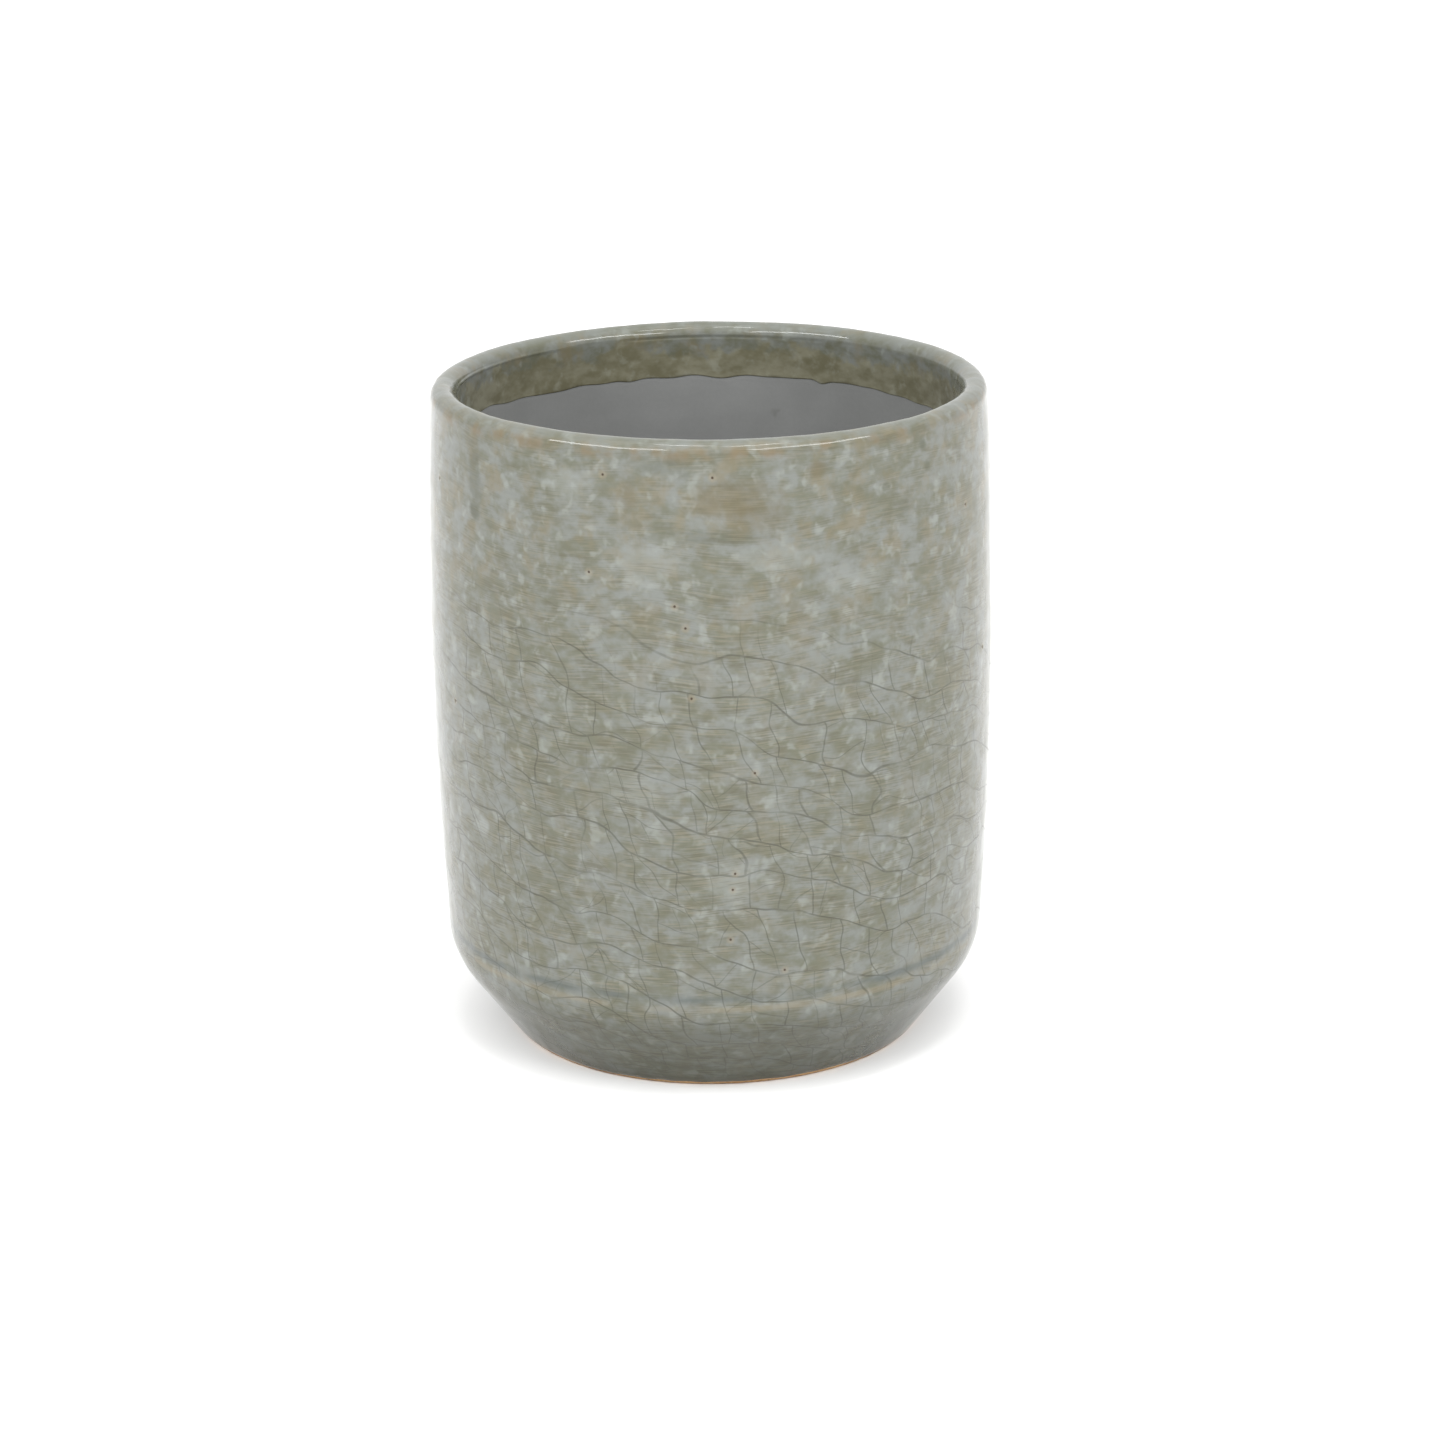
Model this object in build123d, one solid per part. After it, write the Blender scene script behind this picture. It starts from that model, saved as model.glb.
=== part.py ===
from build123d import *
from math import sqrt
import os

# Brush holder pot: a wheel-thrown earthenware beaker with a slightly bellied wall, a soft shoulder,
# a chamfer running in to a narrow bare foot, and a fully rounded lip. Millimetres, +Z up, with the
# origin at the centre of the foot, on the surface that the pot stands on.

# Overall shape of the finished, glazed pot
HEIGHT = 142.0             # foot to the top of the lip
BELLY_DIAMETER = 120.0     # widest place on the outside
BELLY_HEIGHT = 86.5
WALL_BOW = 980.0           # radius of the long arc that the wall follows from shoulder to lip
SHOULDER_HEIGHT = 18.1     # where the chamfer would meet the wall if its edge were sharp
SHOULDER_ROUND = 16.5      # radius that softens that edge
FOOT_DIAMETER = 88.5       # outside, on the ground

# Wall, floor and underside
WALL = 5.5                 # glaze to glaze
FLOOR = 8.0                # ground to the finished floor inside
INNER_CORNER_ROUND = 18.0  # where the wall runs into the floor
LIP_ROUND = 0.49 * WALL    # both edges of the lip, which leaves it almost a half circle
RECESS_DIAMETER = 68.0     # shallow hollow under the base, which leaves a foot ring
RECESS_DEPTH = 1.5
RECESS_ROUND = 0.7
FOOT_EDGE_ROUND = 0.25

# Coats on the clay
GLAZE_COAT = 0.7           # clear crackle glaze, outside, over the lip and a little way down inside
SLIP_COAT = 0.3            # slip brushed on the clay under that glaze
LINING_COAT = 0.6          # plain glaze on the inner wall and floor
GLAZE_FOLD = 12.0          # how far the outer coats run down inside the lip
BARE_FOOT = 0.6            # height of unglazed clay showing above the ground
FOOT_SETBACK = 0.35        # how far the bare clay stands back from the face of the glaze

# Values that follow
COATS = GLAZE_COAT + SLIP_COAT
BELLY_RADIUS = BELLY_DIAMETER / 2
FOOT_RADIUS = FOOT_DIAMETER / 2
FOLD_HEIGHT = HEIGHT - GLAZE_FOLD
SKIRT = 5.0                # the outlines run on below the ground, so that no coat lies there
ROOM = 10.0                # how far cutting areas reach past the pot


def wall_point(height, depth):
    """Point of the wall's arc at a height, this deep below the outer surface: radius, then height."""
    reach = sqrt((WALL_BOW - depth) ** 2 - (height - BELLY_HEIGHT) ** 2)
    return Vector(BELLY_RADIUS - WALL_BOW + reach, height)


def within_wall(low, high, depth):
    """Half-section area from the axis out to the wall's arc, between two heights."""
    bottom, middle, top = [wall_point(height, depth) for height in (low, (low + high) / 2, high)]
    return make_face([
        Line((0, low), bottom),
        ThreePointArc(bottom, middle, top),
        Line(top, (0, high)),
        Line((0, high), (0, low)),
    ])


def under_chamfer(depth):
    """Area that the chamfer leaves out, with its slanting line moved this deep into the pot."""
    foot, shoulder = Vector(FOOT_RADIUS, 0), wall_point(SHOULDER_HEIGHT, 0)
    slant = (shoulder - foot).normalized()
    inward = Vector(-slant.Y, slant.X) * depth
    low, high = foot + inward - slant * ROOM, shoulder + inward + slant * ROOM
    return make_face(Polyline(low, high, (high.X, low.Y), close=True))


def corner_near(face, point):
    """The corner of a face that lies nearest to a point."""
    return face.vertices().sort_by_distance(point)[0]


def filled_section(depth):
    """Section of the pot as if it were filled solid, this deep below its outer surface."""
    filled = within_wall(-SKIRT, HEIGHT - depth, depth) - under_chamfer(depth)
    shoulder = corner_near(filled, wall_point(SHOULDER_HEIGHT, depth))
    return fillet(shoulder, SHOULDER_ROUND - depth)


def pot_section(depth):
    """Section of everything deeper than this below the finished surface, inside and outside."""
    floor = FLOOR - depth
    cavity = within_wall(floor, HEIGHT + ROOM, WALL - depth)
    cavity = fillet(corner_near(cavity, wall_point(floor, WALL - depth)), INNER_CORNER_ROUND + depth)
    section = filled_section(depth) - cavity
    return fillet(section.vertices().group_by(Axis.Y)[-1], LIP_ROUND - depth)


def slab(low, high):
    """Half-section area between two heights, from the axis out past the wall."""
    width = BELLY_RADIUS + ROOM
    return Pos(width / 2, (low + high) / 2) * Rectangle(width, high - low)


def turn(section):
    """The solid that a half section makes when it is turned about the pot's axis."""
    return revolve(Plane.XZ * section, Axis.Z)


# Where each coat goes: the lining on the inside below the fold, the outer coats everywhere else
lined_area = filled_section(WALL / 2) & slab(FLOOR / 2, FOLD_HEIGHT)
glazed_area = slab(BARE_FOOT, HEIGHT) - lined_area


def clay_body():
    """Thrown clay: floor, wall and lip, with a bare foot ring round a shallow hollow."""
    under_coats = pot_section(COATS) & slab(0, HEIGHT)
    bare_foot = pot_section(FOOT_SETBACK) & slab(0, BARE_FOOT)
    clay = turn(under_coats + bare_foot)
    ground_edges = clay.edges().group_by(Axis.Z)[0]
    clay = fillet(ground_edges, FOOT_EDGE_ROUND)
    recess = Cylinder(RECESS_DIAMETER / 2, 2 * RECESS_DEPTH)
    recess = fillet(recess.edges().group_by(Axis.Z)[-1], RECESS_ROUND)
    return clay - recess


def brushed_slip():
    """Thin slip, brushed round the clay, with the glaze over it."""
    return turn((pot_section(GLAZE_COAT) - pot_section(COATS)) & glazed_area)


def outer_glaze():
    """Crackle glaze over the outside, the lip and the top of the inside."""
    return turn((pot_section(0) - pot_section(GLAZE_COAT)) & glazed_area)


def inner_lining():
    """Plain glaze on the inner wall and floor, up to the edge of the outer coats."""
    return turn((pot_section(COATS - LINING_COAT) - pot_section(COATS)) & lined_area)


PARTS = {
    "clay_body": clay_body,
    "brushed_slip": brushed_slip,
    "outer_glaze": outer_glaze,
    "inner_lining": inner_lining,
}

os.makedirs("parts", exist_ok=True)
for name, make in PARTS.items():
    export_step(make(), f"parts/{name}.step")
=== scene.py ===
"""The finished looks of a brush holder pot: thrown clay, brushed slip, crackle glaze and a plain lining."""
from math import atan2, cos, degrees, pi, radians, sin, sqrt
import bmesh
import bpy
import numpy as np
from mathutils import Matrix, Vector


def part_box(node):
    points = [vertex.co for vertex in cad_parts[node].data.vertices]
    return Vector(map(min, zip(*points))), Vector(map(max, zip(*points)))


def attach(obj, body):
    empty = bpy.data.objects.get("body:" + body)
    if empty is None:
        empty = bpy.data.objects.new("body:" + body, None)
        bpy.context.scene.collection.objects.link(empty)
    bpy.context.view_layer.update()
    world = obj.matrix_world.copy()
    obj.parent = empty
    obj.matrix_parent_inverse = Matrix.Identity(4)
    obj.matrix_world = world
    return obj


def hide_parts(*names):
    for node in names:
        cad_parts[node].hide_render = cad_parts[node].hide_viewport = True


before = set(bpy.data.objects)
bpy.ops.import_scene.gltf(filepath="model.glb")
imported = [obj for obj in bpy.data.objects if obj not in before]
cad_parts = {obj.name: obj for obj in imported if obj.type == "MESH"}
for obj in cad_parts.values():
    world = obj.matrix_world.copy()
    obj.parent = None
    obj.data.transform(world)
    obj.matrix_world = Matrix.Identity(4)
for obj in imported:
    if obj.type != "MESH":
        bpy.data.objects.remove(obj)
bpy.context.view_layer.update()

MM = 0.001

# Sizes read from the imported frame, in metres
glaze_low, glaze_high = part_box("outer_glaze")
clay_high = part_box("clay_body")[1]
lining_low, lining_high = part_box("inner_lining")
HEIGHT = glaze_high[2]
BELLY_RADIUS = max(glaze_high[0], glaze_high[1])
BARE_FOOT = glaze_low[2]
FOLD_HEIGHT = lining_high[2]
COATS = HEIGHT - clay_high[2]
FLOOR = lining_low[2] + COATS

# The rest of the pot's outline, as the CAD has it
BELLY_HEIGHT = 86.5 * MM
WALL_BOW = 980 * MM
SHOULDER_HEIGHT = 18.1 * MM
SHOULDER_ROUND = 16.5 * MM
FOOT_RADIUS = 44.25 * MM
WALL = 5.5 * MM
INNER_CORNER_ROUND = 18 * MM
LIP_ROUND = 2.7 * MM
RECESS_RADIUS = 34 * MM
RECESS_DEPTH = 1.5 * MM
RECESS_ROUND = 0.7 * MM
FOOT_EDGE_ROUND = 0.25 * MM
FOOT_SETBACK = 0.35 * MM    # how far the bare foot lies behind the glaze's face
RING_EDGE_ROUND = 0.2 * MM  # the foot ring's inner edge
GLAZE_COAT = 0.7 * MM
LINING_SETBACK = 0.2 * MM   # how far the lining's face lies behind the glaze's

COLUMNS = 400               # faces round the pot
STEP = 0.1 * MM             # spacing of the outline's points


# The outline in section

def wall_radius(height, depth=0.0):
    """Radius of the wall's long arc at a height, this deep below the outer surface."""
    reach = np.sqrt((WALL_BOW - depth) ** 2 - (height - BELLY_HEIGHT) ** 2)
    return BELLY_RADIUS - WALL_BOW + reach


def arc(centre, radius, start, end, count=40):
    """Points of an arc in section, between two angles in degrees from straight outwards."""
    turn = np.radians(np.linspace(start, end, count))
    return np.stack([centre[0] + radius * np.cos(turn), centre[1] + radius * np.sin(turn)], axis=1)


def shoulder_centre(slant):
    """Centre of the round that joins the chamfer to the wall."""
    inward = np.array([-slant[1], slant[0]]) * SHOULDER_ROUND
    along = 0.0
    for _ in range(30):
        height = inward[1] + slant[1] * along
        along = (wall_radius(height, SHOULDER_ROUND) - FOOT_RADIUS - inward[0]) / slant[0]
    return np.array([FOOT_RADIUS, 0.0]) + inward + slant * along


def finished_outline():
    """The glazed surface in section: up the outside, over the lip, down the inside, in to the axis."""
    slant = np.array([wall_radius(SHOULDER_HEIGHT) - FOOT_RADIUS, SHOULDER_HEIGHT])
    slant /= np.linalg.norm(slant)
    shoulder = shoulder_centre(slant)
    lip_height = HEIGHT - LIP_ROUND
    shoulder_lean = degrees(atan2(shoulder[1] - BELLY_HEIGHT, WALL_BOW))
    lip_lean = degrees(atan2(lip_height - BELLY_HEIGHT, WALL_BOW))
    outside = np.linspace(SHOULDER_HEIGHT + SHOULDER_ROUND / 2, lip_height, 200)
    inside = np.linspace(lip_height, FLOOR + INNER_CORNER_ROUND, 200)
    corner_depth = WALL + INNER_CORNER_ROUND
    corner_height = FLOOR + INNER_CORNER_ROUND
    corner = (wall_radius(corner_height, corner_depth), corner_height)
    pieces = [
        [(FOOT_RADIUS, 0.0)],
        arc(shoulder, SHOULDER_ROUND, degrees(atan2(slant[1], slant[0])) - 90, shoulder_lean),
        np.stack([wall_radius(outside), outside], axis=1),
        arc((wall_radius(lip_height, LIP_ROUND), lip_height), LIP_ROUND, lip_lean, 90),
        arc((wall_radius(lip_height, WALL - LIP_ROUND), lip_height), LIP_ROUND, 90, 180 + lip_lean),
        np.stack([wall_radius(inside, WALL), inside], axis=1),
        arc(corner, INNER_CORNER_ROUND, 0, -90),
        [(0.0, FLOOR)],
    ]
    return np.concatenate(pieces)


class Outline:
    """A line in section, with points, outward normals and lengths along it."""

    def __init__(self, points):
        points = np.asarray(points, float)
        keep = np.r_[True, np.hypot(*np.diff(points, axis=0).T) > 1e-9]
        points = points[keep]
        length = np.r_[0, np.cumsum(np.hypot(*np.diff(points, axis=0).T))]
        self.along = np.arange(0, length[-1], STEP)
        self.radius = np.interp(self.along, length, points[:, 0])
        self.height = np.interp(self.along, length, points[:, 1])
        rise = np.gradient(self.height)
        run = np.gradient(self.radius)
        size = np.hypot(rise, run)
        self.out_radius, self.out_height = rise / size, -run / size
        self.crest = self.along[np.argmax(self.height)]
        self.end = self.along[-1]

    def at(self, along, depth):
        """Radius and height of places along the line, this deep below it."""
        out_radius, out_height = self.normal(along)
        radius = np.interp(along, self.along, self.radius) - depth * out_radius
        height = np.interp(along, self.along, self.height) - depth * out_height
        return np.maximum(radius, 0.0), height

    def normal(self, along):
        """Outward direction at places along the line."""
        return (np.interp(along, self.along, self.out_radius),
                np.interp(along, self.along, self.out_height))

    def outside(self, height):
        """Length along the line where the outside passes a height."""
        up = self.along <= self.crest
        return np.interp(height, self.height[up], self.along[up])

    def inside(self, height):
        """Length along the line where the inside passes a height."""
        down = self.along >= self.crest
        return np.interp(-height, -self.height[down], self.along[down])


pot = Outline(finished_outline())


# Unevenness of hand work

def ripple(points, size, seed, waves=18):
    """A smooth random field through space, about -1 to 1, with features of this size."""
    draw = np.random.default_rng(seed)
    way = draw.normal(size=(waves, 3))
    way /= np.linalg.norm(way, axis=1)[:, None]
    way *= 2 * pi / size * draw.uniform(0.6, 1.3, (waves, 1))
    turn = draw.uniform(0, 2 * pi, waves)
    flat = points.reshape(-1, 3)
    field = np.zeros(len(flat))
    for one_way, one_turn in zip(way, turn):
        field += np.cos(flat @ one_way + one_turn)
    return (field * sqrt(2 / waves) * 0.7).reshape(points.shape[:-1])


def ring_field(angle, size, seed):
    """A smooth random value round the pot, about -1 to 1."""
    circle = np.stack([np.sin(angle), np.cos(angle), 0 * angle], axis=-1) * BELLY_RADIUS
    return ripple(circle, size, seed)


def unevenness(points):
    """How far throwing and firing left the wall from true, outwards."""
    angle = np.arctan2(points[..., 0], -points[..., 1])
    height = points[..., 2]
    loose = np.clip(height / HEIGHT, 0, 1)
    oval = 0.16 * MM * np.cos(2 * angle + 0.9) + 0.07 * MM * np.cos(3 * angle + 2.0)
    spiral = height + 2.2 * MM * angle / pi
    stacked = np.stack([0.12 * points[..., 0], 0.12 * points[..., 1], spiral], axis=-1)
    rings = 0.035 * MM * ripple(stacked, 7 * MM, 3) + 0.06 * MM * ripple(stacked, 34 * MM, 4)
    on_wall = np.clip((height - 4 * MM) / (12 * MM), 0, 1)
    return oval * loose + rings * on_wall


ANGLES = np.linspace(-pi, pi, COLUMNS, endpoint=False)      # 0 is the front
OUTWARDS = np.stack([np.sin(ANGLES), -np.cos(ANGLES)], axis=-1)[None]


def placed(along, depth):
    """Points of a grid in space, from lengths along the outline and depths, one row for each ring."""
    radius, height = pot.at(along, depth)
    out_radius, out_height = pot.normal(along)
    points = np.concatenate([radius[..., None] * OUTWARDS, height[..., None]], axis=-1)
    shift = unevenness(points)
    near_lip = np.clip((height - 0.8 * HEIGHT) / (0.2 * HEIGHT), 0, 1)
    points[..., :2] += (out_radius * shift)[..., None] * OUTWARDS
    lip_wave = 0.10 * MM * ring_field(ANGLES, 90 * MM, 11) + 0.04 * MM * ring_field(ANGLES, 24 * MM, 12)
    points[..., 2] += out_height * shift + near_lip ** 2 * lip_wave[None]
    return points


def lathe(name, points, heights_on_map, poles):
    """A closed mesh from rings of points. Poles close both ends; without them the last ring meets
    the first."""
    rows, columns = points.shape[:2]
    corners = points.reshape(-1, 3).tolist()
    faces, maps = [], []
    last = rows - 1 if poles else rows
    for row in range(last):
        above = (row + 1) % rows
        low, high = heights_on_map[row], heights_on_map[above]
        for column in range(columns):
            beside = (column + 1) % columns
            left, right = column / columns, (column + 1) / columns
            faces.append((row * columns + column, row * columns + beside,
                          above * columns + beside, above * columns + column))
            maps.append(((left, low), (right, low), (right, high), (left, high)))
    if poles:
        for row, order in ((0, -1), (rows - 1, 1)):
            centre = points[row].mean(axis=0)
            centre[:2] = 0
            pole = len(corners)
            corners.append(centre.tolist())
            for column in range(columns):
                beside = (column + 1) % columns
                left, right = column / columns, (column + 1) / columns
                high = heights_on_map[row]
                face = (row * columns + column, row * columns + beside, pole)
                place = ((left, high), (right, high), ((left + right) / 2, high))
                faces.append(face[::order])
                maps.append(place[::order])
    mesh = bpy.data.meshes.new(name)
    mesh.from_pydata(corners, [], faces)
    layer = mesh.uv_layers.new(name="OFBake")
    layer.data.foreach_set("uv", [value for face in maps for place in face for value in place])
    mesh.polygons.foreach_set("use_smooth", [True] * len(faces))
    mesh.validate()
    piece = bpy.data.objects.new(name, mesh)
    bpy.context.scene.collection.objects.link(piece)
    return piece


def face_outwards(piece):
    """Makes every face look out of its solid."""
    shape = bmesh.new()
    shape.from_mesh(piece.data)
    bmesh.ops.recalc_face_normals(shape, faces=shape.faces)
    shape.to_mesh(piece.data)
    shape.free()


# Where the coats end, all round the pot

def foot_edge():
    """Length along the outline where the glaze stops above the foot."""
    wander = 0.22 * MM * ring_field(ANGLES, 26 * MM, 21) + 0.08 * MM * ring_field(ANGLES, 6 * MM, 22)
    return pot.outside(BARE_FOOT) + 0.1 * MM + np.maximum(wander, -0.35 * MM)


# Drips of the fold: angle in degrees from the front, length in millimetres, half width in degrees
DRIPS = [(152, 0.8, 1.7), (-161, 0.5, 2.4), (-75, 1.3, 2.0), (61, 0.9, 1.6), (18, 1.6, 2.2)]


def fold_edge():
    """Length along the outline where the glaze stops inside, with the drips of a dipped rim."""
    wander = 0.9 * MM * ring_field(ANGLES, 70 * MM, 23) + 0.28 * MM * ring_field(ANGLES, 11 * MM, 24)
    drips = np.zeros_like(ANGLES)
    for angle, run, width in DRIPS:
        gap = np.angle(np.exp(1j * (ANGLES - radians(angle))))
        drips += run * MM * np.exp(-(gap / radians(width)) ** 2)
    return pot.inside(FOLD_HEIGHT) + wander + drips


def rows_between(stations, spacings):
    """Shares along each stretch between stations, spaced as asked, without the stretch's end."""
    rows = []
    for number, spacing in enumerate(spacings):
        gap = abs(float(np.mean(stations[number + 1] - stations[number])))
        count = max(1, round(gap / spacing))
        rows += [(number, step / count) for step in range(count)]
    return rows + [(len(spacings) - 1, 1.0)]


def stretched(stations, rows):
    """Grid of lengths along the outline, for stations that wander round the pot."""
    ends = [np.broadcast_to(station, ANGLES.shape) for station in stations]
    return np.stack([ends[n] * (1 - share) + ends[n + 1] * share for n, share in rows])


# Where the lip begins, outside and inside
OUTSIDE_TOP = pot.outside(HEIGHT - 1.6 * LIP_ROUND)
INSIDE_TOP = pot.inside(HEIGHT - 1.6 * LIP_ROUND)
LAP = 1.6 * MM              # how far the lining runs up behind the glaze
CLEAR = 0.01 * MM           # between coats, so that their faces never lie in one place


def lapped_depth(along, edge, shallow, deep):
    """Depth of the face between lining and glaze: level with the lining at the glaze's edge, and
    behind the glaze above it."""
    share = np.clip((edge - along) / LAP, 0, 1)
    share = share * share * (3 - 2 * share)
    return shallow + (deep - shallow) * share


# Flaws in the glaze: angle from the front in degrees (right is positive) and height in millimetres
PINHOLES = [(-21, 135), (0.5, 135), (-24, 115), (-7, 109), (-5, 104.5), (-4, 90), (8, 74), (4, 52.5),
            (3.5, 49), (3, 38), (14, 30.5), (62, 121), (71, 88), (96, 57), (88, 33), (118, 101), (131, 66),
            (129, 118), (149, 43), (168, 84), (177, 127), (-168, 59), (-151, 97), (-139, 36), (-122, 112),
            (-118, 72), (-97, 91), (-88, 48), (-70, 126), (-63, 80)]
PIT_RADIUS = 0.32 * MM
PIT_DEPTH = 0.2 * MM
PIT_MESH = 1.1 * MM         # the mesh is finer this far round a pinhole


def place_of(angle, height, depth=0.0):
    """Point on the outside of the wall at an angle in degrees and a height in metres."""
    radius = wall_radius(height, depth)
    turn = radians(angle)
    return np.array([radius * sin(turn), -radius * cos(turn), height])


def pit(piece):
    """Divides the mesh round each pinhole, and sinks a small pit with a raised rim there."""
    shape = bmesh.new()
    shape.from_mesh(piece.data)
    middles = np.array([face.calc_center_median() for face in shape.faces])
    shape.faces.ensure_lookup_table()
    edges = set()
    places = [place_of(angle, height * MM) for angle, height in PINHOLES]
    for place in places:
        for number in np.nonzero(np.linalg.norm(middles - place, axis=1) < PIT_MESH)[0]:
            edges.update(shape.faces[int(number)].edges)
    bmesh.ops.subdivide_edges(shape, edges=list(edges), cuts=5, use_grid_fill=True)
    for place in places:
        out = Vector((place[0], place[1], 0)).normalized()
        middle = Vector(place)
        for corner in shape.verts:
            gap = corner.co - middle
            if abs(gap.x) + abs(gap.y) + abs(gap.z) > 4 * MM:
                continue
            across = (gap - out * gap.dot(out)).length / PIT_RADIUS
            sink = np.exp(-across ** 2) - 0.12 * np.exp(-(across - 2.2) ** 2)
            corner.co -= out * (PIT_DEPTH * sink)
    for face in shape.faces:
        face.smooth = True
    shape.to_mesh(piece.data)
    shape.free()


def make_outer_glaze():
    """The crackle glaze: front, a rounded edge inside, the hidden back, and a rounded edge at the foot."""
    low, fold = foot_edge(), fold_edge()
    edge_round = 0.35 * MM
    front_stations = [low + edge_round, OUTSIDE_TOP, INSIDE_TOP, fold - LAP, fold - edge_round]
    front_rows = rows_between(front_stations, [0.95 * MM, 0.42 * MM, 0.8 * MM, 0.4 * MM])
    front = stretched(front_stations, front_rows)
    back_stations = [fold - 0.1 * MM, fold - LAP, INSIDE_TOP, OUTSIDE_TOP, low + 0.1 * MM]
    back_rows = rows_between(back_stations, [0.5 * MM, 2.5 * MM, 1.0 * MM, 6 * MM])
    back = stretched(back_stations, back_rows)
    back_depth = lapped_depth(back, fold, LINING_SETBACK, GLAZE_COAT)
    turns = np.radians([20, 40, 60, 78])[:, None]
    fold_cap = fold - edge_round + edge_round * np.sin(turns)
    fold_depth = LINING_SETBACK * (1 - np.cos(turns)) + 0 * fold_cap
    foot_cap = (low + edge_round - edge_round * np.sin(turns))[::-1]
    foot_depth = (GLAZE_COAT * (1 - np.cos(turns)) + 0 * foot_cap)[::-1]
    along = np.concatenate([front, fold_cap, back, foot_cap])
    depth = np.concatenate([0 * front, fold_depth, back_depth, foot_depth])
    points = placed(along, depth)
    flow = 0.02 * MM * ripple(points, 4.5 * MM, 31) + 0.03 * MM * ripple(points, 13 * MM, 32)
    faced = np.zeros(len(along))
    faced[:len(front)] = 1
    out_radius, out_height = pot.normal(along)
    points[..., :2] += (out_radius * flow * faced[:, None])[..., None] * OUTWARDS
    points[..., 2] += out_height * flow * faced[:, None]
    # The front takes nearly all of the bake's height, and the hidden rest a thin strip
    run = front.mean(axis=1)
    front_map = 0.05 + 0.95 * (run - run[0]) / np.ptp(run)
    rest_map = np.linspace(0.045, 0.005, len(along) - len(front))
    share = np.concatenate([front_map, rest_map])
    piece = lathe("outer_glaze_coat", points, share, poles=False)
    face_outwards(piece)
    pit(piece)
    return piece


def make_brushed_slip():
    """The slip between clay and glaze, a little short of the glaze's edges."""
    low, fold = foot_edge() + 0.15 * MM, fold_edge() - LAP - 0.2 * MM
    stations = [low, OUTSIDE_TOP, INSIDE_TOP, fold]
    rows = rows_between(stations, [3 * MM, 0.8 * MM, 2 * MM])
    front = stretched(stations, rows)
    along = np.concatenate([front, front[::-1]])
    depth = np.concatenate([0 * front + GLAZE_COAT + CLEAR, 0 * front + COATS - CLEAR])
    share = np.linspace(0.02, 0.98, len(along))
    piece = lathe("brushed_slip_coat", placed(along, depth), share, poles=False)
    face_outwards(piece)
    return piece


def make_inner_lining():
    """The lining, from under the glaze's edge down the wall and across the floor."""
    fold = fold_edge()
    stations = [fold - LAP, fold, pot.inside(FOLD_HEIGHT - 12 * MM),
                pot.inside(FLOOR + INNER_CORNER_ROUND), pot.end - 1 * MM]
    rows = rows_between(stations, [0.4 * MM, 1.0 * MM, 1.6 * MM, 1.2 * MM])
    front = stretched(stations, rows)
    back = stretched(stations, rows_between(stations, [0.8 * MM, 4 * MM, 8 * MM, 4 * MM]))[::-1]
    front_depth = lapped_depth(front, fold, LINING_SETBACK, GLAZE_COAT) + CLEAR
    # The rows go from the pole of the face, out and up, over the edge, and back down behind
    along = np.concatenate([front[::-1], back[::-1]])
    depth = np.concatenate([front_depth[::-1], 0 * back + COATS - CLEAR])
    share = np.concatenate([np.linspace(0.06, 1, len(front)), np.linspace(0.05, 0, len(back))])
    piece = lathe("inner_lining_coat", placed(along, depth), share, poles=True)
    face_outwards(piece)
    return piece


def foot_outline():
    """The clay below the glaze, in section, from under the glaze in to the axis beneath the pot."""
    radius, height = pot.at(pot.outside(BARE_FOOT * 1.5), FOOT_SETBACK)
    ground = pot.at(pot.outside(0.0), FOOT_SETBACK)[0] - FOOT_EDGE_ROUND
    recess_centre = (RECESS_RADIUS - RECESS_ROUND, RECESS_DEPTH - RECESS_ROUND)
    return np.concatenate([
        [(float(radius), float(height))],
        arc((float(ground), FOOT_EDGE_ROUND), FOOT_EDGE_ROUND, -37, -90, 6),
        [(RECESS_RADIUS + RING_EDGE_ROUND, 0.0)],
        arc((RECESS_RADIUS + RING_EDGE_ROUND, RING_EDGE_ROUND), RING_EDGE_ROUND, -90, -180, 5),
        arc(recess_centre, RECESS_ROUND, 0, 90, 10),
        [(1 * MM, RECESS_DEPTH)],
    ])


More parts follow.
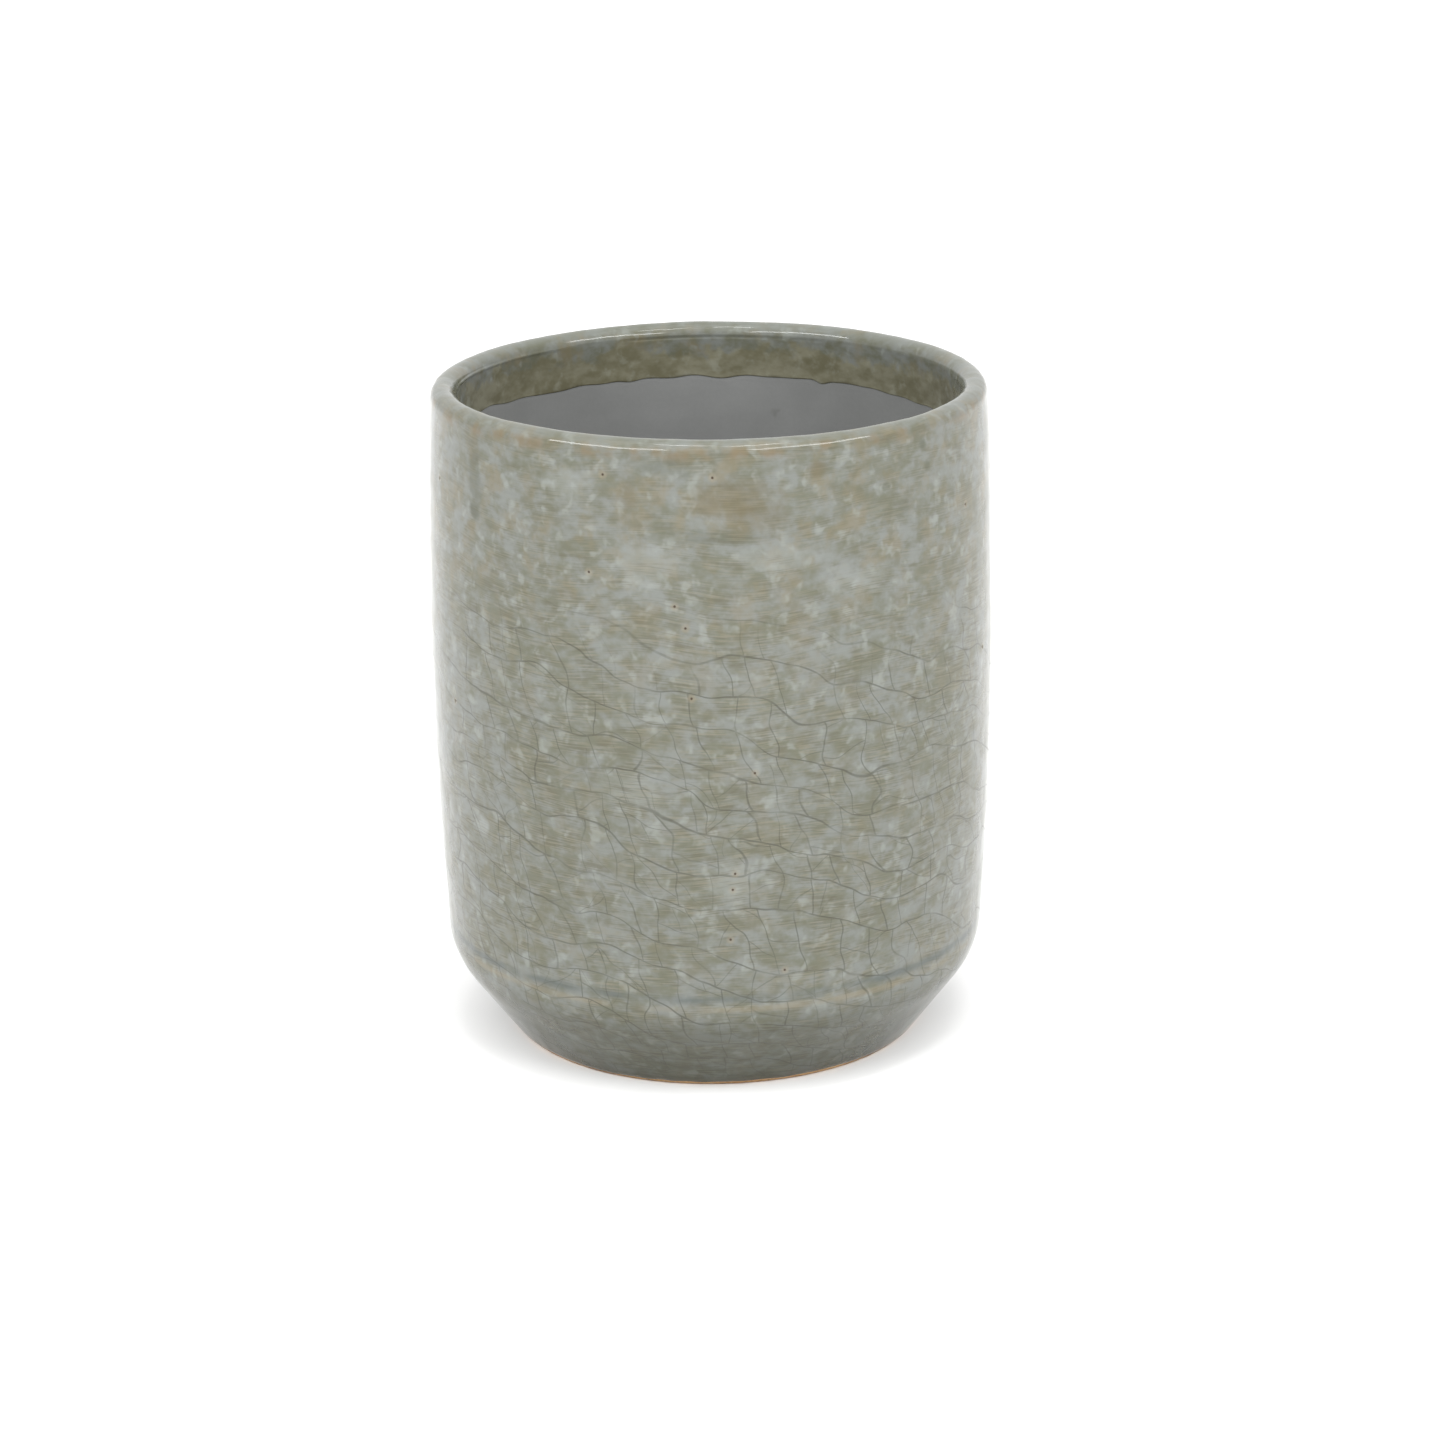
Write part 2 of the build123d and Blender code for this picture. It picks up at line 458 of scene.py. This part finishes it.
def make_clay_body():
    """The clay, from the middle of its floor up inside, over the lip, down outside and under."""
    low = pot.outside(BARE_FOOT * 2.2)
    corner = pot.inside(FLOOR + INNER_CORNER_ROUND)
    stations = [pot.end - 1 * MM, corner, INSIDE_TOP, OUTSIDE_TOP, low]
    rows = rows_between(stations, [4 * MM, 6 * MM, 1 * MM, 6 * MM])
    along = stretched(stations, rows)
    body = placed(along, 0 * along + COATS)
    line = Outline(foot_outline())
    steps = np.arange(0, line.along[-1], 0.45 * MM)
    radius = np.interp(steps, line.along, line.radius)
    height = np.interp(steps, line.along, line.height)
    level = np.broadcast_to(height[:, None, None], (len(steps), COLUMNS, 1))
    foot = np.concatenate([radius[:, None, None] * OUTWARDS, level], axis=-1)
    # Turning marks and grit under the pot, never below the ground
    spiral = np.sqrt((foot[..., 0] ** 2 + foot[..., 1] ** 2)) + 1.3 * MM * ANGLES[None] / pi
    marks = 0.07 * MM * np.sin(2 * pi * spiral / (2.6 * MM)) + 0.05 * MM * ripple(foot, 2.2 * MM, 41)
    under = np.clip((RECESS_RADIUS - 1.5 * MM - radius) / (2 * MM), 0, 1)[:, None]
    foot[..., 2] += marks * under
    on_ring = (height < 0.02 * MM)[:, None]
    foot[..., 2] += on_ring * np.abs(ripple(foot, 1.6 * MM, 42)) * 0.05 * MM
    points = np.concatenate([body, foot])
    share = np.concatenate([np.linspace(0.02, 0.4, len(body)), np.linspace(0.41, 1, len(foot))])
    piece = lathe("clay_body_fired", points, share, poles=True)
    face_outwards(piece)
    return piece


# Materials

def srgb(red, green, blue):
    """A colour given as it looks on a screen, 0 to 255, for a socket."""
    channels = [value / 255 for value in (red, green, blue)]
    return tuple(v / 12.92 if v <= 0.04045 else ((v + 0.055) / 1.055) ** 2.4 for v in channels) + (1.0,)


class Graph:
    """Short calls that add nodes to a material and join them up. Lengths are in millimetres."""

    def __init__(self, name):
        self.material = bpy.data.materials.new(name)
        self.material.use_nodes = True
        self.tree = self.material.node_tree
        self.tree.nodes.clear()
        place = self.node("ShaderNodeTexCoord").outputs["Object"]
        self.place = self.vector("SCALE", place, scale=1 / MM)
        parts = self.node("ShaderNodeSeparateXYZ", Vector=self.place).outputs
        self.x, self.y, self.height = parts
        self.radius = self.distance(self.x, self.y)
        self.angle = self.math("ARCTAN2", self.x, self.math("MULTIPLY", self.y, -1))
        self.round = self.math("MULTIPLY", self.angle, BELLY_RADIUS / MM)

    def node(self, kind, settings=None, **inputs):
        made = self.tree.nodes.new(kind)
        for name, value in (settings or {}).items():
            setattr(made, name, value)
        for name, value in inputs.items():
            self.plug(made.inputs[name.replace("_", " ")], value)
        return made

    def plug(self, socket, value):
        if isinstance(value, bpy.types.NodeSocket):
            self.tree.links.new(value, socket)
        else:
            socket.default_value = value

    def math(self, operation, *values):
        made = self.node("ShaderNodeMath", {"operation": operation})
        for socket, value in zip(made.inputs, values):
            self.plug(socket, value)
        return made.outputs[0]

    def sum(self, *values):
        result = values[0]
        for value in values[1:]:
            result = self.math("ADD", result, value)
        return result

    def times(self, *values):
        result = values[0]
        for value in values[1:]:
            result = self.math("MULTIPLY", result, value)
        return result

    def distance(self, x, y):
        """Length of a step of x and y."""
        return self.math("SQRT", self.sum(self.times(x, x), self.times(y, y)))

    def vector(self, operation, first, second=None, scale=None):
        made = self.node("ShaderNodeVectorMath", {"operation": operation})
        self.plug(made.inputs[0], first)
        if second is not None:
            self.plug(made.inputs[1], second)
        if scale is not None:
            self.plug(made.inputs["Scale"], scale)
        return made.outputs["Value" if operation == "DISTANCE" else "Vector"]

    def combine(self, x, y, z):
        return self.node("ShaderNodeCombineXYZ", X=x, Y=y, Z=z).outputs[0]

    def mix(self, share, first, second, blend="MIX"):
        made = self.node("ShaderNodeMix", {"data_type": "RGBA", "blend_type": blend})
        self.plug(made.inputs[0], share)
        self.plug(made.inputs[6], first)
        self.plug(made.inputs[7], second)
        return made.outputs[2]

    def noise(self, place, size, detail=2.0, roughness=0.5, distortion=0.0):
        """Noise with features of this size in millimetres, about 0.5."""
        made = self.node("ShaderNodeTexNoise", Vector=place, Scale=1 / size, Detail=detail,
                         Roughness=roughness, Distortion=distortion)
        return made.outputs[0]

    def ramp(self, value, low, high, bottom=0.0, top=1.0):
        """A smooth step from bottom to top as the value goes from low to high."""
        made = self.node("ShaderNodeMapRange", {"interpolation_type": "SMOOTHSTEP"}, Value=value)
        for name, number in (("From Min", low), ("From Max", high), ("To Min", bottom), ("To Max", top)):
            self.plug(made.inputs[name], number)
        return made.outputs[0]

    def swing(self, place, size, reach, detail, roughness=0.5):
        """Noise about 0, this far to each side at most."""
        middle = self.math("SUBTRACT", self.noise(place, size, detail, roughness), 0.5)
        return self.math("MULTIPLY", middle, 2 * reach)

    def streaked(self, share, height):
        """The place drawn out sideways, so that a noise in it runs in level lines."""
        return self.combine(self.times(self.x, share), self.times(self.y, share), height)

    def band(self, value, low, high, soft):
        """1 between low and high, with soft edges of this width."""
        return self.times(self.ramp(value, low - soft, low + soft),
                          self.ramp(value, high - soft, high + soft, 1.0, 0.0))

    def moved(self, offset):
        """The place, shifted so that two noises of one size differ."""
        return self.vector("ADD", self.place, (offset, offset * 0.7, -offset))

    def surface(self, colour, roughness, relief, depth, **sockets):
        """Ends the material with a shader whose relief is this deep, in metres."""
        bump = self.node("ShaderNodeBump", Strength=1.0, Distance=depth, Height=relief).outputs[0]
        return self.finish(self.node("ShaderNodeBsdfPrincipled", Base_Color=colour,
                                     Roughness=roughness, Normal=bump, **sockets))

    def finish(self, shader):
        out = self.node("ShaderNodeOutputMaterial")
        self.tree.links.new(shader.outputs[0], out.inputs["Surface"])
        return self.material


def cracks(g, level, spacing, width):
    """One family of cracks, across a level in millimetres. Gives how dark each crack is, 1 on its
    line and 0 this width away, and three random values for each strip between two cracks."""
    scaled = g.math("DIVIDE", level, spacing)
    edge = g.node("ShaderNodeTexVoronoi", {"voronoi_dimensions": "1D", "feature": "DISTANCE_TO_EDGE"},
                  W=scaled, Scale=1.0).outputs["Distance"]
    cell = g.node("ShaderNodeTexVoronoi", {"voronoi_dimensions": "1D", "feature": "F1"},
                  W=scaled, Scale=1.0).outputs["Color"]
    line = g.ramp(edge, 0.25 * width / spacing, width / spacing, 1.0, 0.0)
    return line, g.node("ShaderNodeSeparateColor", Color=cell).outputs


def crackle(g, height):
    """The net of crack lines: long lines that slope down to the right, and shorter ones that run
    between them and stop where they meet. Each family is shifted by a random value of the strip
    that it runs in, times some hundreds of millimetres, so that it differs from strip to strip."""
    def warp(size, reach, offset):
        return g.swing(g.moved(offset), size, reach, 1.0)

    level = g.sum(height, g.times(g.round, 0.24), g.sum(warp(26, 8, 10), warp(8, 1.3, 20)), 700.0)
    long_line, strip = cracks(g, level, 8.0, 0.26)
    side = g.sum(g.round, g.times(height, 0.25), g.sum(warp(15, 6, 40), warp(6, 1.0, 50)))
    cross_line, block = cracks(g, g.sum(side, g.times(strip[0], 900.0), 900.0), 7.0, 0.24)
    lean = g.math("SUBTRACT", g.times(block[1], 1.8), 0.9)
    third = g.sum(height, g.times(g.round, lean), warp(9, 3.2, 70), g.times(block[0], 1100.0))
    short_line, part = cracks(g, g.sum(third, 1200.0), 7.5, 0.21)
    short_line = g.times(short_line, g.ramp(block[2], 0.50, 0.60))
    fourth = g.sum(g.round, g.times(height, lean), warp(7, 2.4, 90), g.times(part[0], 1300.0))
    fine_line = cracks(g, g.sum(fourth, 1500.0), 9.0, 0.17)[0]
    fine_line = g.times(fine_line, g.ramp(part[1], 0.60, 0.7))
    # Fewer cracks towards the rim, and none on the top quarter of the wall
    reach = g.sum(height, g.swing(g.moved(130), 30, 23.0, 1.0))
    long_line = g.times(long_line, g.ramp(reach, 92, 112, 1.0, 0.0))
    cross_line = g.times(cross_line, g.ramp(reach, 86, 104, 0.85, 0.0))
    short_line = g.times(short_line, g.ramp(reach, 78, 96, 0.7, 0.0))
    fine_line = g.times(fine_line, g.ramp(reach, 66, 88, 0.6, 0.0))
    # The net's two ends meet at the back, in one more crack
    seam = g.math("SUBTRACT", pi, g.math("ABSOLUTE", g.angle))
    seam_line = g.times(g.ramp(seam, 0.0015, 0.0045, 1.0, 0.0), g.ramp(reach, 92, 112, 0.9, 0.0))
    lines = long_line
    for line in (cross_line, short_line, fine_line, seam_line):
        lines = g.math("MAXIMUM", lines, line)
    return g.times(lines, g.ramp(g.noise(g.moved(160), 9, 2.0), 0.30, 0.62, 0.35, 1.0))


def pinholes(g):
    """Distance in millimetres to the nearest pinhole, measured over the wall."""
    unrolled = g.combine(g.round, g.height, 0.0)
    nearest = 100.0     # farther than any that matters
    for angle, height in PINHOLES:
        gap = g.vector("DISTANCE", unrolled, (radians(angle) * BELLY_RADIUS / MM, height, 0))
        nearest = g.math("MINIMUM", nearest, gap)
    return nearest


# Cloudy patches: angle in degrees, height, half width and half height in millimetres, shade, strength
STAINS = [(-53.5, 131, 2.6, 8.5, "green", 0.5), (-53.5, 122.6, 2.3, 1.9, "green", 0.75),
          (47, 136.7, 1.2, 1.1, "green", 0.6), (48, 131.9, 1.1, 1.1, "green", 0.6),
          (36.5, 129.9, 1.1, 1.0, "green", 0.55), (41, 125, 3.0, 2.0, "green", 0.3),
          (21.5, 135.5, 2.6, 1.6, "olive", 0.55), (5, 131, 9.0, 4.5, "olive", 0.6),
          (-7, 137, 8.0, 2.6, "green", 0.4), (1, 123, 13.0, 1.5, "green", 0.4),
          (9, 126, 8.0, 3.0, "olive", 0.4), (-16, 131, 2.2, 5.0, "olive", 0.45),
          (-12.5, 117, 8.0, 5.5, "pale", 0.35), (13.5, 118, 9.0, 3.5, "pale", 0.35),
          (-28, 133, 6.0, 3.5, "pale", 0.4), (30, 112, 7.0, 4.0, "pale", 0.35),
          (4, 50.5, 5.0, 5.0, "pale", 0.45), (-15, 70, 8.0, 5.0, "pale", 0.35),
          (-54, 55, 2.2, 2.2, "pale", 0.7), (100, 128, 9.0, 4.0, "olive", 0.5),
          (152, 122, 12.0, 5.0, "olive", 0.5), (-150, 134, 6.0, 3.0, "green", 0.5),
          (-100, 118, 8.0, 6.0, "pale", 0.5), (175, 90, 9.0, 6.0, "pale", 0.45),
          (118, 60, 7.0, 7.0, "pale", 0.4)]


def crackle_glaze():
    """Milky grey-green glaze: mottled, with the slip's brush lines showing through, and crackled."""
    g = Graph("crackle_glaze")
    blue_grey = srgb(112, 115, 111)
    olive = srgb(94, 95, 81)
    tan = srgb(110, 102, 80)
    pale = srgb(132, 136, 131)
    # 1 from the lip's crest inwards, and 0 outside
    inside = g.times(g.ramp(g.radius, 56.6, 55.4), g.ramp(g.height, 60, 70))
    outside = g.math("SUBTRACT", 1.0, inside)
    # Chamfer and wall run on as one surface for the crackle
    down = g.sum(g.height, g.times(g.math("SUBTRACT", g.radius, BELLY_RADIUS / MM), 0.34))

    flat = g.vector("MULTIPLY", g.place, (0.75, 0.75, 1.15))
    broad = g.noise(g.vector("ADD", flat, (5, 3, -5)), 24, 2.0, 0.5)
    patches = g.noise(g.vector("ADD", flat, (15, 10, -15)), 6.0, 2.5, 0.5)
    small = g.noise(g.vector("ADD", flat, (25, 17, -25)), 2.3, 2.0, 0.55)
    mottle = g.sum(g.times(patches, 0.42), g.times(broad, 0.20), g.times(small, 0.38))
    milky = g.ramp(mottle, 0.38, 0.62)
    colour = g.mix(milky, olive, blue_grey)
    warm = g.times(g.ramp(g.noise(g.moved(35), 6, 3.0, 0.6), 0.46, 0.70, 0.0, 0.6),
                   g.ramp(g.height, 85, 125, 0.4, 1.0))
    colour = g.mix(warm, colour, tan)
    light = g.ramp(g.noise(g.moved(45), 3.2, 2.0, 0.5, 0.2), 0.54, 0.74, 0.0, 0.55)
    colour = g.mix(light, colour, pale)
    deep = g.ramp(g.noise(g.moved(65), 3.4, 2.5, 0.55), 0.52, 0.72, 0.0, 0.5)
    colour = g.mix(deep, colour, srgb(89, 88, 72))
    shades = {"olive": srgb(92, 85, 64), "green": srgb(76, 78, 65), "pale": srgb(132, 136, 133)}
    ragged = g.swing(g.moved(145), 4.5, 0.85, 3.0, 0.6)
    for angle, height, half_width, half_height, shade, strength in STAINS:
        middle = radians(angle) * BELLY_RADIUS / MM
        across = g.math("DIVIDE", g.math("SUBTRACT", g.round, middle), half_width)
        up = g.math("DIVIDE", g.math("SUBTRACT", g.height, height), half_height)
        spot = g.ramp(g.sum(g.distance(across, up), ragged), 0.35, 1.25, strength, 0.0)
        colour = g.mix(g.times(spot, outside), colour, shades[shade])

    # Brush lines in the slip, in strokes that tilt a little
    lifted = g.sum(g.height, g.swing(g.moved(55), 34, 3.5, 0.0))
    hairs = g.noise(g.streaked(0.05, lifted), 0.26, 0.0)
    strokes_place = g.streaked(0.4, lifted)
    strokes = g.ramp(g.noise(strokes_place, 2.6, 2.5, 0.55), 0.34, 0.60)
    strokes = g.times(strokes, g.ramp(mottle, 0.60, 0.46, 0.3, 1.0), outside,
                      g.ramp(g.height, 95, 130, 1.0, 0.6))
    dark_hairs = g.times(g.ramp(hairs, 0.50, 0.68), strokes)
    pale_hairs = g.times(g.ramp(hairs, 0.48, 0.32), strokes)
    colour = g.mix(g.times(dark_hairs, 0.44), colour, srgb(81, 75, 60))
    colour = g.mix(g.times(pale_hairs, 0.36), colour, srgb(124, 119, 103))

    # The bands thrown and brushed at the shoulder
    blue_band = g.times(g.band(g.height, 23.8, 25.4, 0.8),
                        g.ramp(g.noise(strokes_place, 5, 2.0), 0.35, 0.57, 0.25, 1.0))
    colour = g.mix(g.times(blue_band, 0.65), colour, srgb(73, 80, 79))
    tan_band = g.times(g.band(g.height, 21.7, 22.9, 0.5),
                       g.ramp(g.noise(g.moved(75), 12, 2.0), 0.36, 0.6))
    colour = g.mix(g.times(tan_band, 0.4), colour, srgb(129, 120, 100))
    # Painted shade: the chamfer is darkened to stand in for the lesser light on its downward face
    chamfer_painted_shade = g.ramp(g.height, 23.0, 14.0)
    colour = g.mix(chamfer_painted_shade, colour, (0.54, 0.54, 0.49, 1), "MULTIPLY")

    # Glaze runs thin over the lip's outer edge and lets the clay show through
    lip_edge = g.times(g.band(g.height, 138.6, 140.9, 1.0), outside)
    lip_breaks = g.ramp(g.noise(g.moved(85), 5.5, 2.5, 0.6), 0.42, 0.64, 0.05, 0.70)
    colour = g.mix(g.times(lip_edge, lip_breaks), colour, srgb(110, 97, 76))
    # Painted shade: the top of the lip is darkened to hold back the light that falls on it from above
    lip_top_painted_shade = g.times(g.ramp(g.height, 140.6, 141.6),
                      g.ramp(g.noise(g.moved(155), 5, 2.0), 0.35, 0.65, 0.2, 0.6))
    colour = g.mix(lip_top_painted_shade, colour, srgb(108, 111, 105))

    # The fold inside the rim is thin and shows dark and olive, with milky blots near the lip
    blots = g.swing(g.moved(95), 6, 6.5, 3.0, 0.6)
    fold = g.times(inside, g.ramp(g.sum(g.height, blots), 137.6, 135.4))
    colour = g.mix(fold, colour, g.mix(milky, srgb(96, 93, 74), srgb(118, 116, 99)))
    fold_light = g.times(fold, g.ramp(g.noise(g.moved(105), 3, 3.0), 0.52, 0.75, 0.0, 0.5))
    colour = g.mix(fold_light, colour, srgb(137, 138, 125))

    lines = crackle(g, down)
    colour = g.mix(g.times(lines, 0.57), colour, srgb(54, 53, 44))
    gap = pinholes(g)
    halo = g.ramp(gap, 0.4, 1.2, 0.35, 0.0)
    colour = g.mix(halo, colour, srgb(135, 124, 104))
    hole = g.ramp(gap, 0.16, 0.34, 0.9, 0.0)
    colour = g.mix(hole, colour, srgb(56, 42, 31))
    # Painted shade: darker over the last few millimetres above the foot, where the pot meets the floor
    foot_shade = g.ramp(g.height, 3.2, 0.9, 0.0, 0.55)
    colour = g.mix(foot_shade, colour, srgb(69, 67, 53))

    roughness = g.sum(g.ramp(g.noise(g.moved(115), 12, 2.0), 0.3, 0.7, 0.07, 0.13), g.times(lines, 0.15))
    relief = g.math("SUBTRACT", g.times(g.noise(g.moved(125), 3.4, 2.0), 0.5), g.times(lines, 0.5))
    return g.surface(colour, roughness, relief, 0.03 * MM, IOR=1.37)


def grey_lining():
    """Plain mid grey glaze with a soft shine, faint turning rings and a few marks."""
    g = Graph("grey_lining")
    cloud = g.noise(g.moved(205), 18, 3.0, 0.5)
    colour = g.mix(g.ramp(cloud, 0.3, 0.7), srgb(119, 120, 119), srgb(126, 127, 126))
    fine = g.ramp(g.noise(g.moved(215), 0.8, 2.0), 0.3, 0.7, 0.0, 0.10)
    colour = g.mix(fine, colour, srgb(106, 107, 106))
    marks = g.ramp(g.noise(g.moved(225), 4.5, 2.0, 0.6), 0.70, 0.80, 0.0, 0.4)
    colour = g.mix(marks, colour, srgb(96, 96, 92))
    turned = g.noise(g.streaked(0.05, g.height), 2.4, 2.0)
    relief = g.sum(g.times(turned, 0.6), g.noise(g.moved(235), 2.2, 2.0))
    roughness = g.ramp(g.noise(g.moved(245), 7, 2.0), 0.3, 0.7, 0.36, 0.46)
    return g.surface(colour, roughness, relief, 0.03 * MM, IOR=1.5)


def bare_clay():
    """Buff-tan fired clay, matt and gritty."""
    g = Graph("bare_clay")
    cloud = g.noise(g.moved(305), 9, 3.0, 0.6)
    colour = g.mix(g.ramp(cloud, 0.3, 0.7), srgb(176, 138, 98), srgb(198, 164, 124))
    grit = g.ramp(g.noise(g.moved(315), 0.5, 2.0, 0.6), 0.60, 0.72, 0.0, 0.6)
    colour = g.mix(grit, colour, srgb(118, 88, 60))
    pale = g.ramp(g.noise(g.moved(325), 0.7, 1.0), 0.66, 0.76, 0.0, 0.6)
    colour = g.mix(pale, colour, srgb(222, 200, 168))
    relief = g.noise(g.moved(335), 0.45, 3.0, 0.6)
    roughness = g.ramp(cloud, 0.3, 0.7, 0.82, 0.92)
    return g.surface(colour, roughness, relief, 0.06 * MM)


def brushed():
    """Pale matt slip with brush lines."""
    g = Graph("brushed_slip")
    hairs = g.noise(g.streaked(0.055, g.height), 0.62, 1.5, 0.6)
    colour = g.mix(g.ramp(hairs, 0.35, 0.65), srgb(150, 146, 124), srgb(186, 184, 168))
    roughness = g.ramp(g.noise(g.moved(405), 5, 2.0), 0.3, 0.7, 0.7, 0.85)
    return g.surface(colour, roughness, hairs, 0.05 * MM)


# The set: floor, light and camera

def studio_floor():
    """Wide pale paper under the pot."""
    half = 6.0
    mesh = bpy.data.meshes.new("floor")
    corners = [(-half, -half, 0), (half, -half, 0), (half, half, 0), (-half, half, 0)]
    mesh.from_pydata(corners, [], [(0, 1, 2, 3)])
    floor = bpy.data.objects.new("floor", mesh)
    bpy.context.scene.collection.objects.link(floor)
    g = Graph("floor_paper")
    grain = g.ramp(g.noise(g.place, 40, 2.0), 0.3, 0.7, 0.0, 1.0)
    colour = g.mix(grain, (0.90, 0.90, 0.90, 1), (0.92, 0.92, 0.92, 1))
    shader = g.node("ShaderNodeBsdfPrincipled", Base_Color=colour, Roughness=1.0)
    shader.inputs["Specular IOR Level"].default_value = 0.0
    mesh.materials.append(g.finish(shader))


def hung(name, lamp, place, way):
    """Puts a lamp in the scene at a place, shining this way."""
    holder = bpy.data.objects.new(name, lamp)
    holder.location = place
    holder.rotation_euler = way.to_track_quat("-Z", "Y").to_euler()
    bpy.context.scene.collection.objects.link(holder)


def area_light(name, place, size, target, power):
    """A soft box at a place, turned to a target."""
    lamp = bpy.data.lights.new(name, "AREA")
    lamp.shape = "RECTANGLE"
    lamp.size, lamp.size_y = size
    lamp.energy = power
    hung(name, lamp, place, Vector(target) - Vector(place))


def studio():
    """An even white room, a soft light from high in front, and the boxes and strips whose shine
    shows on the lip."""
    world = bpy.data.worlds.new("white_room")
    world.use_nodes = True
    backdrop = world.node_tree.nodes["Background"]
    backdrop.inputs["Color"].default_value = (1, 1, 1, 1)
    backdrop.inputs["Strength"].default_value = 1.0
    bpy.context.scene.world = world
    ceiling = bpy.data.lights.new("ceiling", "SUN")
    ceiling.energy, ceiling.angle = 0.85, radians(70)
    steepness = radians(72)
    hung("ceiling", ceiling, (0, 0, 0), Vector((0, cos(steepness), -sin(steepness))))
    rim = (0, 0, HEIGHT)
    area_light("box_left", (-0.70, -0.64, 0.86), (1.00, 0.17), rim, 7.6)
    area_light("box_right", (0.70, -0.64, 0.86), (1.00, 0.17), rim, 7.6)
    area_light("strip_left", (-0.12, -0.20, 1.34), (0.30, 0.07), rim, 1.3)
    area_light("strip_right", (0.26, -0.36, 1.30), (0.36, 0.07), rim, 1.6)
    bpy.context.scene.view_settings.view_transform = "Standard"


def camera():
    """The view from a little above, with a slight roll."""
    distance, height, lens = 0.800, 0.3223, 96.92
    yaw, pitch, roll = radians(0.15), radians(17.78), radians(-0.68)
    ahead = Vector((sin(yaw) * cos(pitch), cos(yaw) * cos(pitch), -sin(pitch)))
    right = Vector((cos(yaw), -sin(yaw), 0))
    up = right.cross(ahead)
    right, up = right * cos(roll) + up * sin(roll), up * cos(roll) - right * sin(roll)
    data = bpy.data.cameras.new("camera")
    data.lens = lens
    data.sensor_width = 36
    data.clip_start, data.clip_end = 0.01, 50
    holder = bpy.data.objects.new("camera", data)
    turned = Matrix((right, up, -ahead)).transposed().to_4x4()
    holder.matrix_world = Matrix.Translation((0, -distance, height)) @ turned
    bpy.context.scene.collection.objects.link(holder)
    bpy.context.scene.camera = holder


def dress(piece, node, material):
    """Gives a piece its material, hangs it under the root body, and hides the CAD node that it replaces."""
    piece.data.materials.clear()
    piece.data.materials.append(material)
    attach(piece, "root")
    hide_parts(node)


camera()
studio()
studio_floor()
dress(make_clay_body(), "clay_body", bare_clay())
dress(make_brushed_slip(), "brushed_slip", brushed())
dress(make_outer_glaze(), "outer_glaze", crackle_glaze())
dress(make_inner_lining(), "inner_lining", grey_lining())
